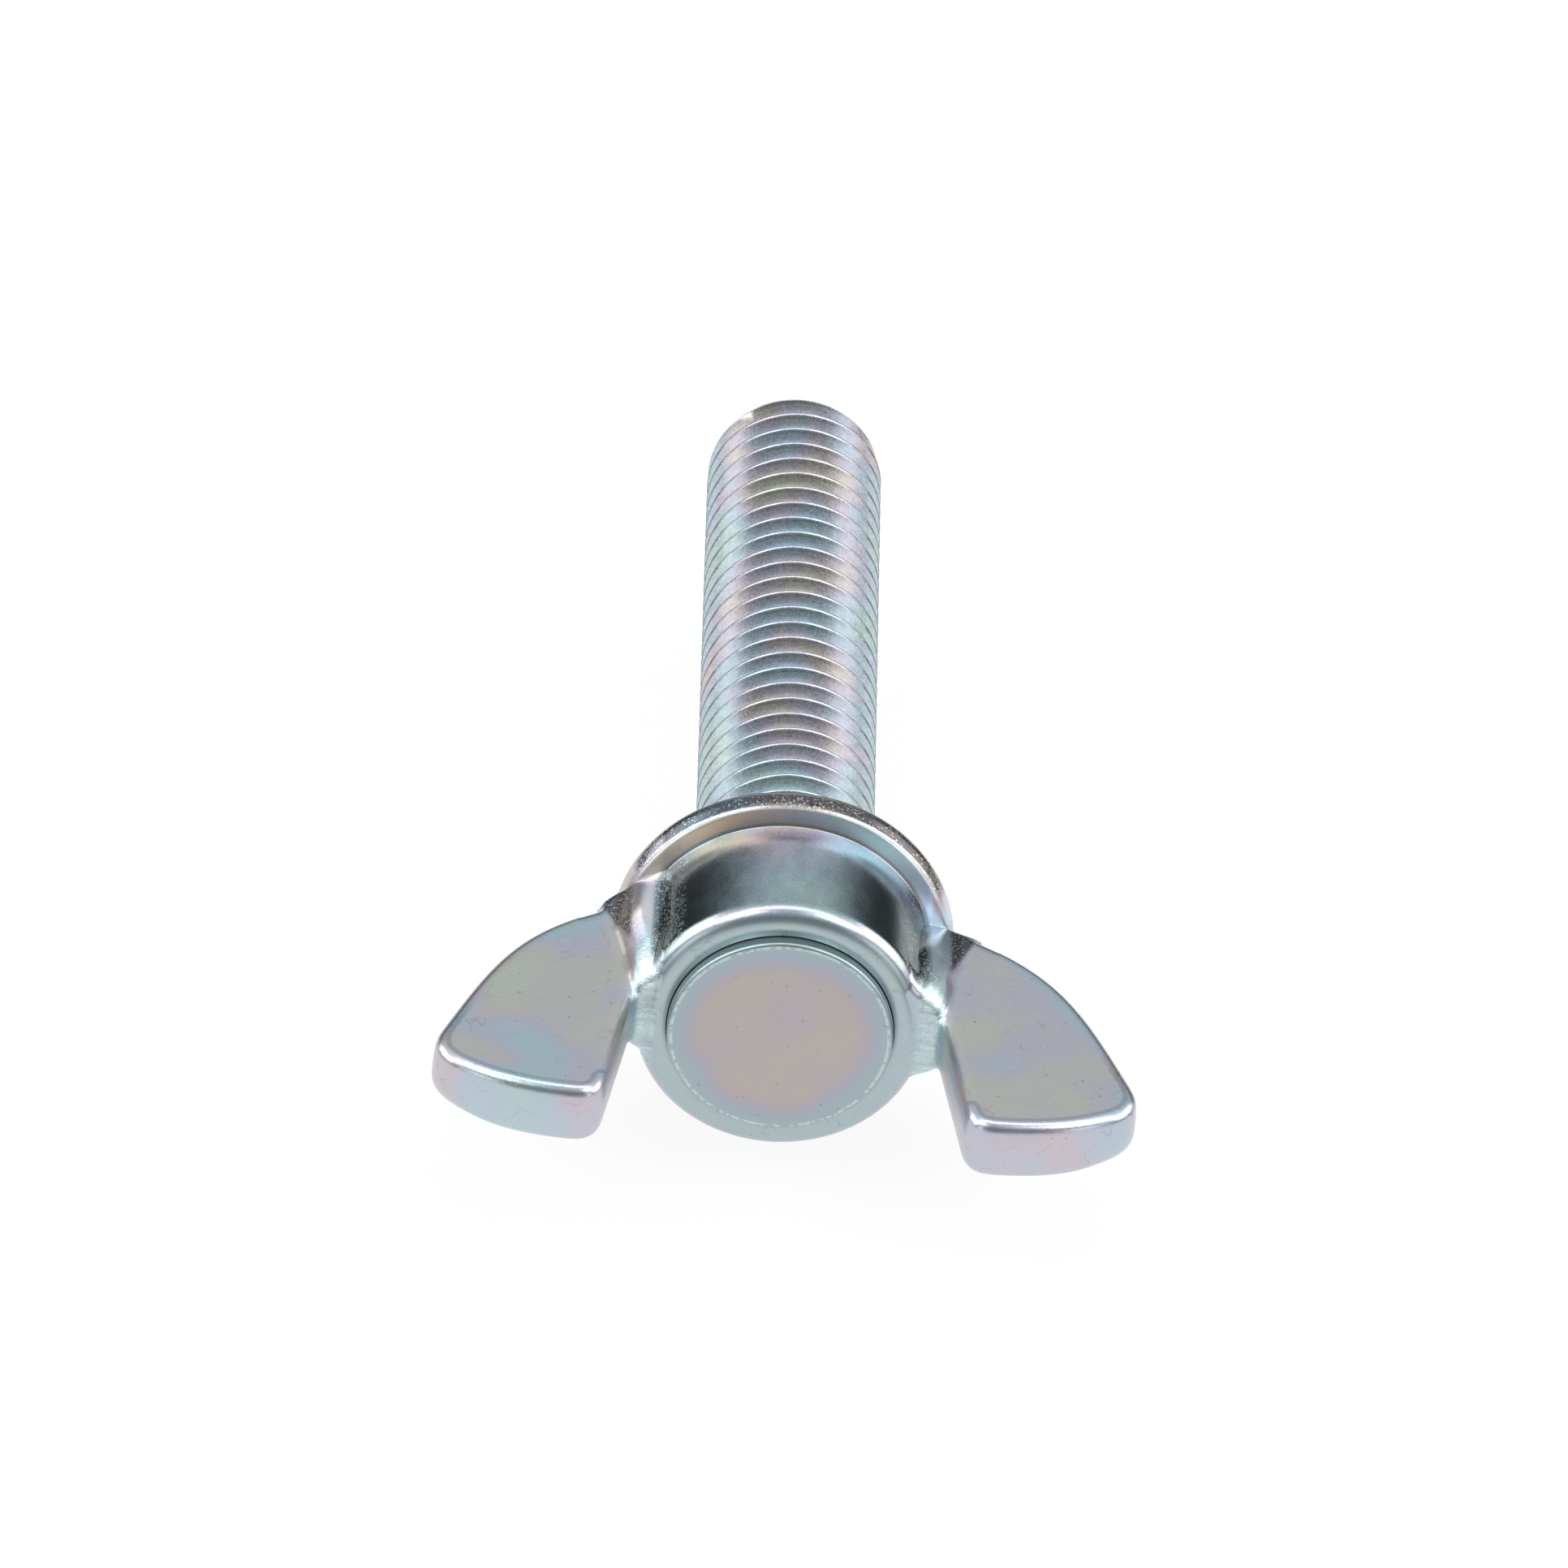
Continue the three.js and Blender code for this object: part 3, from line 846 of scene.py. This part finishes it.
    # Painted glints on the flecks of the rim, the recesses and the boss.
    light = flecks * (rim + recess_shade + boss * clouds * FLECK_GLINTS_ON_BOSS) * FLECK_GLINT
    light = light + strip * (streaks - STREAK_MEAN) * STREAK_LIGHT
    # Painted light on the collar's face and the web's ridge, and a painted highlight along the collar's lip.
    light = light + face * FACE_PAINTED_LIGHT + ridge * RIDGE_PAINTED_LIGHT + lip * LIP_HIGHLIGHT
    marks = (pits * PIT_DARK + scratches * SCRATCH_DARK) * (1 - boss)
    # The land's darkening here is painted shade.
    shade = HEAD_SHADE - dark + light - marks - groove_reflection * GROOVE_REFLECTION_DARK - land * LAND_SHADE

    roughness = HEAD_ROUGHNESS - boss * BOSS_GLOSS - rim * RIM_GLOSS + strip * STRIP_DULLNESS
    roughness = roughness + (grain - MEAN) * GRAIN_ROUGHNESS
    relief = paint.bump(peel, GRAIN_DEPTH)
    relief = paint.bump(grain + (rim + recess_shade + strip) * flecks * FLECK_HEIGHT, GRAIN_DEPTH, relief)
    relief = paint.bump(streaks * strip, STREAK_DEPTH, relief)
    return paint.metal(paint.darken(tint, shade), roughness, relief)


# Stud: where each part of its finish starts and is full, in millimetres. A third number is a soft end.
DISC_FRONT = (-8.0, -9.0)
DISC_EDGE = (STUD_HEAD_RADIUS - 0.30, STUD_HEAD_RADIUS - 0.18, 0.05)
DISC_SIDE = (STUD_FACE_Y + 0.15, STUD_FACE_Y + 0.3)
THREAD_CREST = (THREAD_RADIUS - 0.06, THREAD_RADIUS - 0.02)
UNDER_CREST = (THREAD_RADIUS - 0.22, THREAD_RADIUS - 0.12, 0.05)
THREAD_SIDE = (1.5, 3.5)

# Stud: how much darker or lighter each part is than plain zinc. The disc's face gets painted shade, its side
# painted light and its edge painted glints; the thread's sides get painted light, its crests a painted
# highlight in the middle and painted dark reflection at the sides, and the place under the crests painted
# shade.
STUD_SHADE = 1.06
DISC_SHADE = 0.22
DISC_EDGE_GLINT = 0.3
DISC_PIT_DARK = 0.2
DISC_SIDE_PAINTED_LIGHT = 0.3
THREAD_SIDE_PAINTED_LIGHT = 0.12
CREST_HIGHLIGHT = 0.25
UNDER_CREST_SHADE = 0.25
THREAD_GRAIN = 0.7
THREAD_MARKS = 0.5

# Stud: sizes of its marks and grain in millimetres, and where they show in their noise
STUD_GRAIN_SIZE = 0.10
MARK_SIZE = 0.12
MARK_STRETCH = (3, 1, 3)
DISC_PIT_SPACING = 0.9
DISC_PIT_SHOWS = (0.10, 0.05)
EDGE_GLINT_SIZE = 0.35
EDGE_GLINT_SHOWS = (0.42, 0.52)

# Stud: the film's thickness from 0 to 1 along its tints
STUD_FILM_SIZE = 5.0
STUD_FILM_RANGE = 1.5
STUD_FILM_LOW = 0.14
STUD_FILM_SIDE = (2.5, 4.8)
STUD_FILM_GAIN = 0.2
DISC_FILM_LOW = 0.43
DISC_FILM_OUTWARD = (4.0, 6.2)
DISC_FILM_GAIN = 0.50
DISC_FILM_SIZE = 3.0
DISC_FILM_RANGE = 0.34

STUD_ROUGHNESS = 0.28
STUD_GRAIN_ROUGHNESS = 0.16
DISC_DULLNESS = 0.07


def stud_finish():
    """Zinc on the rolled stud: satin with fine marks on the thread, a painted highlight and painted dark
    reflection on its crests, painted shade under them and painted light on its sides, and a flat head with a
    tinted edge, painted shade on its face, painted light on its side and painted glints along its edge.
    """
    paint = Paint("zinc_on_stud")
    radius = paint.radius()
    disc = paint.step(paint.y, *DISC_FRONT)
    thread = 1 - disc
    edge = paint.band(radius, *DISC_EDGE) * disc
    gap = paint.step(paint.y, *DISC_SIDE) * disc
    crest = paint.step(radius, *THREAD_CREST) * thread
    under = paint.band(radius, *UNDER_CREST) * thread
    sides = paint.step(paint.x.abs(), *THREAD_SIDE)

    grain = paint.noise(STUD_GRAIN_SIZE)
    marks = paint.noise(MARK_SIZE, stretch=MARK_STRETCH)
    pits = paint.step(paint.cells(DISC_PIT_SPACING), *DISC_PIT_SHOWS)
    edge_glints = paint.step(paint.noise(EDGE_GLINT_SIZE), *EDGE_GLINT_SHOWS)

    film = paint.noise(STUD_FILM_SIZE, COARSE_DETAIL) * STUD_FILM_RANGE - STUD_FILM_LOW
    film = film + paint.step(paint.x.abs(), *STUD_FILM_SIDE) * STUD_FILM_GAIN
    disc_film = DISC_FILM_LOW + paint.step(radius, *DISC_FILM_OUTWARD) * DISC_FILM_GAIN
    disc_film = disc_film + (paint.noise(DISC_FILM_SIZE) - MEAN) * DISC_FILM_RANGE
    film = film * thread + disc_film * disc

    # Painted shade on the disc's face and painted light on the thread's sides; below, a painted highlight on
    # the crests in the middle, painted dark reflection on them at the sides and painted shade under them.
    shade = STUD_SHADE - disc * DISC_SHADE + sides * thread * THREAD_SIDE_PAINTED_LIGHT
    shade = shade + crest * (CREST_HIGHLIGHT - sides) - under * (1 - sides) * UNDER_CREST_SHADE
    shade = shade + ((grain - MEAN) * THREAD_GRAIN + (marks - MEAN) * THREAD_MARKS) * thread
    # Painted glints along the disc's edge and painted light on the disc's side.
    shade = shade + edge * edge_glints * DISC_EDGE_GLINT - pits * disc * DISC_PIT_DARK + gap * DISC_SIDE_PAINTED_LIGHT

    roughness = STUD_ROUGHNESS + (grain - MEAN) * STUD_GRAIN_ROUGHNESS + disc * DISC_DULLNESS
    relief = paint.bump(grain, GRAIN_DEPTH)
    relief = paint.bump(marks * thread, GRAIN_DEPTH, relief)
    return paint.metal(paint.darken(paint.ramp(film, TINTS), shade), roughness, relief)


WHITE = (1, 1, 1, 1)
FLOOR_COLOUR = (0.9, 0.9, 0.9, 1)
FLOOR_GLOW_SHARE = 0.9


def floor_finish():
    """A white table that mostly glows by itself, so that shadows on it stay faint."""
    paint = Paint("white_table")
    diffuse = paint.node("ShaderNodeBsdfDiffuse", None, {"Color": FLOOR_COLOUR})
    glow = paint.node("ShaderNodeEmission", None, {"Color": WHITE, "Strength": 1.0})
    shader = paint.node("ShaderNodeMixShader", None, {0: FLOOR_GLOW_SHARE, 1: diffuse, 2: glow})
    paint.node("ShaderNodeOutputMaterial", None, {"Surface": shader}, output=None)
    return paint.owner


# ---------- Table, light and camera ----------

FLOOR_SIZE = (0.17, 0.22)
FLOOR_MIDDLE_Y = 0.015
FLOOR_GAP = 0.0002


def make_floor():
    """The table, just under the bolt."""
    bm = bmesh.new()
    bmesh.ops.create_grid(bm, x_segments=1, y_segments=1, size=0.5)
    bmesh.ops.scale(bm, vec=(FLOOR_SIZE[0], FLOOR_SIZE[1], 1), verts=bm.verts)
    bmesh.ops.translate(bm, vec=(0, FLOOR_MIDDLE_Y, cad_box[0][2] - FLOOR_GAP), verts=bm.verts)
    mesh = bpy.data.meshes.new("table")
    bm.to_mesh(mesh)
    bm.free()
    mesh.materials.append(floor_finish())
    table = bpy.data.objects.new("table", mesh)
    bpy.context.collection.objects.link(table)


def from_angles(heading, elevation):
    """A direction: heading 0 is towards the wings' side of the bolt (-Y), 90 towards +X."""
    turn, rise = math.radians(heading), math.radians(elevation)
    return Vector((math.sin(turn) * math.cos(rise), -math.cos(turn) * math.cos(rise), math.sin(rise)))


LIGHT_DISTANCE = 0.7

# Soft lights: heading and elevation in degrees, width and height in metres, brightness seen in a reflection
OVERHEAD = (180, 88, (0.70, 0.17), 2.8)
PAIRED_LIGHTS = {
    "upper": (58, 50, (0.42, 0.36), 3.0),
    "side": (97, 22, (0.80, 0.46), 2.4),
    "front": (44, 8, (0.24, 0.28), 1.5),
}


def softbox(name, heading, elevation, size, radiance):
    """A flat soft light that faces the bolt."""
    light = bpy.data.lights.new(name, "AREA")
    light.shape = "RECTANGLE"
    light.size, light.size_y = size
    light.energy = radiance * math.pi * size[0] * size[1]
    lamp = bpy.data.objects.new(name, light)
    direction = from_angles(heading, elevation)
    lamp.location = direction * LIGHT_DISTANCE
    lamp.rotation_euler = direction.to_track_quat("Z", "Y").to_euler()
    lamp.visible_camera = False
    bpy.context.collection.objects.link(lamp)


def make_light():
    """One light overhead, three on each side and a studio around them."""
    softbox("overhead", *OVERHEAD)
    for hand, side in (("left", -1), ("right", 1)):
        for place, (heading, elevation, size, radiance) in PAIRED_LIGHTS.items():
            softbox(f"{place}_{hand}", heading * side, elevation, size, radiance)
    bpy.context.scene.world = studio()
    bpy.context.scene.view_settings.view_transform = "Standard"


# Studio walls: where their light starts and is full along the axis and upwards, and how bright each is
WALL_RISE = (0.14, 0.66)
WALL_BEHIND = (-0.4, 0.4)
WALL_IN_FRONT_SHARE = 0.42
GLOW_IN_FRONT = (-0.6, -0.9)
GLOW_RISE = (0.36, 0.12)
GLOW_LIGHT = 0.3
STUDIO_DARK = 0.06
STUDIO_LIGHT = 0.80
STUDIO_TINT = (0.88, 1.0, 1.02, 1)


def studio():
    """A white backdrop, and for reflections a dark horizon with light walls above it and a glow in front."""
    paint = Paint("studio", bpy.data.worlds.new("studio"))
    direction = paint.node("ShaderNodeTexCoord", output="Generated")
    split = paint.node("ShaderNodeSeparateXYZ", None, {0: direction}, output=None)
    behind, up = Wire(paint, split.outputs[1]), Wire(paint, split.outputs[2])
    share = WALL_IN_FRONT_SHARE + paint.step(behind, *WALL_BEHIND) * (1 - WALL_IN_FRONT_SHARE)
    wall = paint.step(up, *WALL_RISE) * share
    wall = wall + paint.step(behind, *GLOW_IN_FRONT) * paint.step(up, *GLOW_RISE) * GLOW_LIGHT
    seen = paint.node("ShaderNodeLightPath", output="Is Camera Ray")
    brightness = (STUDIO_DARK + wall * STUDIO_LIGHT) * (1 - seen) + seen
    colour = paint.mix(seen, STUDIO_TINT, WHITE)
    light = paint.node("ShaderNodeBackground", None, {"Color": colour, "Strength": brightness})
    paint.node("ShaderNodeOutputWorld", None, {"Surface": light}, output=None)
    return paint.owner


CAMERA_AIM = Vector((-0.126, 14.077, 0)) * MM
CAMERA_DISTANCE = 0.97575
CAMERA_HEADING = -2.873
CAMERA_ELEVATION = 34.435
CAMERA_ROLL = 6.551
CAMERA_LENS = 405.2
CAMERA_NEAR = 0.05


def make_camera():
    """A long lens from above the wings, turned a little about its own axis."""
    data = bpy.data.cameras.new("camera")
    data.lens = CAMERA_LENS
    data.clip_start = CAMERA_NEAR
    camera = bpy.data.objects.new("camera", data)
    back = from_angles(CAMERA_HEADING, CAMERA_ELEVATION)
    level = Vector((0, 0, 1)).cross(back).normalized()
    upright = back.cross(level)
    roll = math.radians(CAMERA_ROLL)
    right = level * math.cos(roll) + upright * math.sin(roll)
    up = back.cross(right)
    turn = Matrix((right, up, back)).transposed()
    camera.matrix_world = Matrix.Translation(CAMERA_AIM + back * CAMERA_DISTANCE) @ turn.to_4x4()
    bpy.context.collection.objects.link(camera)
    bpy.context.scene.camera = camera


# ---------- Putting it together ----------

make_camera()
make_wing_head(head_finish())
make_stud(stud_finish())
make_floor()
make_light()
